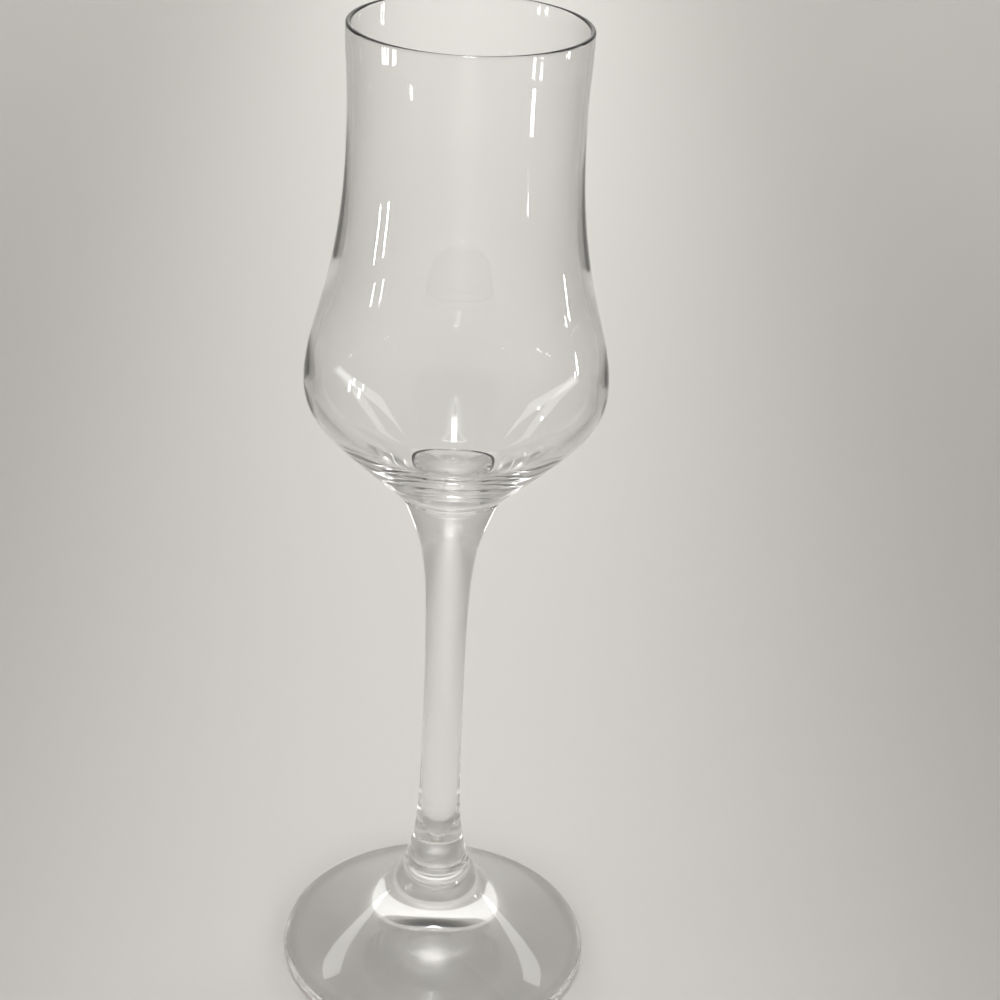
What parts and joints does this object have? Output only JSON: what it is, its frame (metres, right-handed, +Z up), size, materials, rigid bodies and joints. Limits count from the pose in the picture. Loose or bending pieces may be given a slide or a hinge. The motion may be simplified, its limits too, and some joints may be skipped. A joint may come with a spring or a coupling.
{
  "type": "cordial glass",
  "caption": "Tall clear stemmed cordial glass with a slim tulip bowl, a conical lower bowl, a slender solid stem and a round foot that sweeps up to it.",
  "frame": {"origin": "centre of the foot's flat contact ring, on the table", "axes": "+Z up along the glass's axis of turning; X and Y are alike because the glass is round"},
  "size_m": [0.0578, 0.0578, 0.18],
  "materials": {
    "clear_glass": "clear colourless glass, fire-polished to a high gloss"
  },
  "bodies": {
    "root": {"bowl": "clear_glass", "stem": "clear_glass", "foot": "clear_glass"}
  },
  "joints": []
}
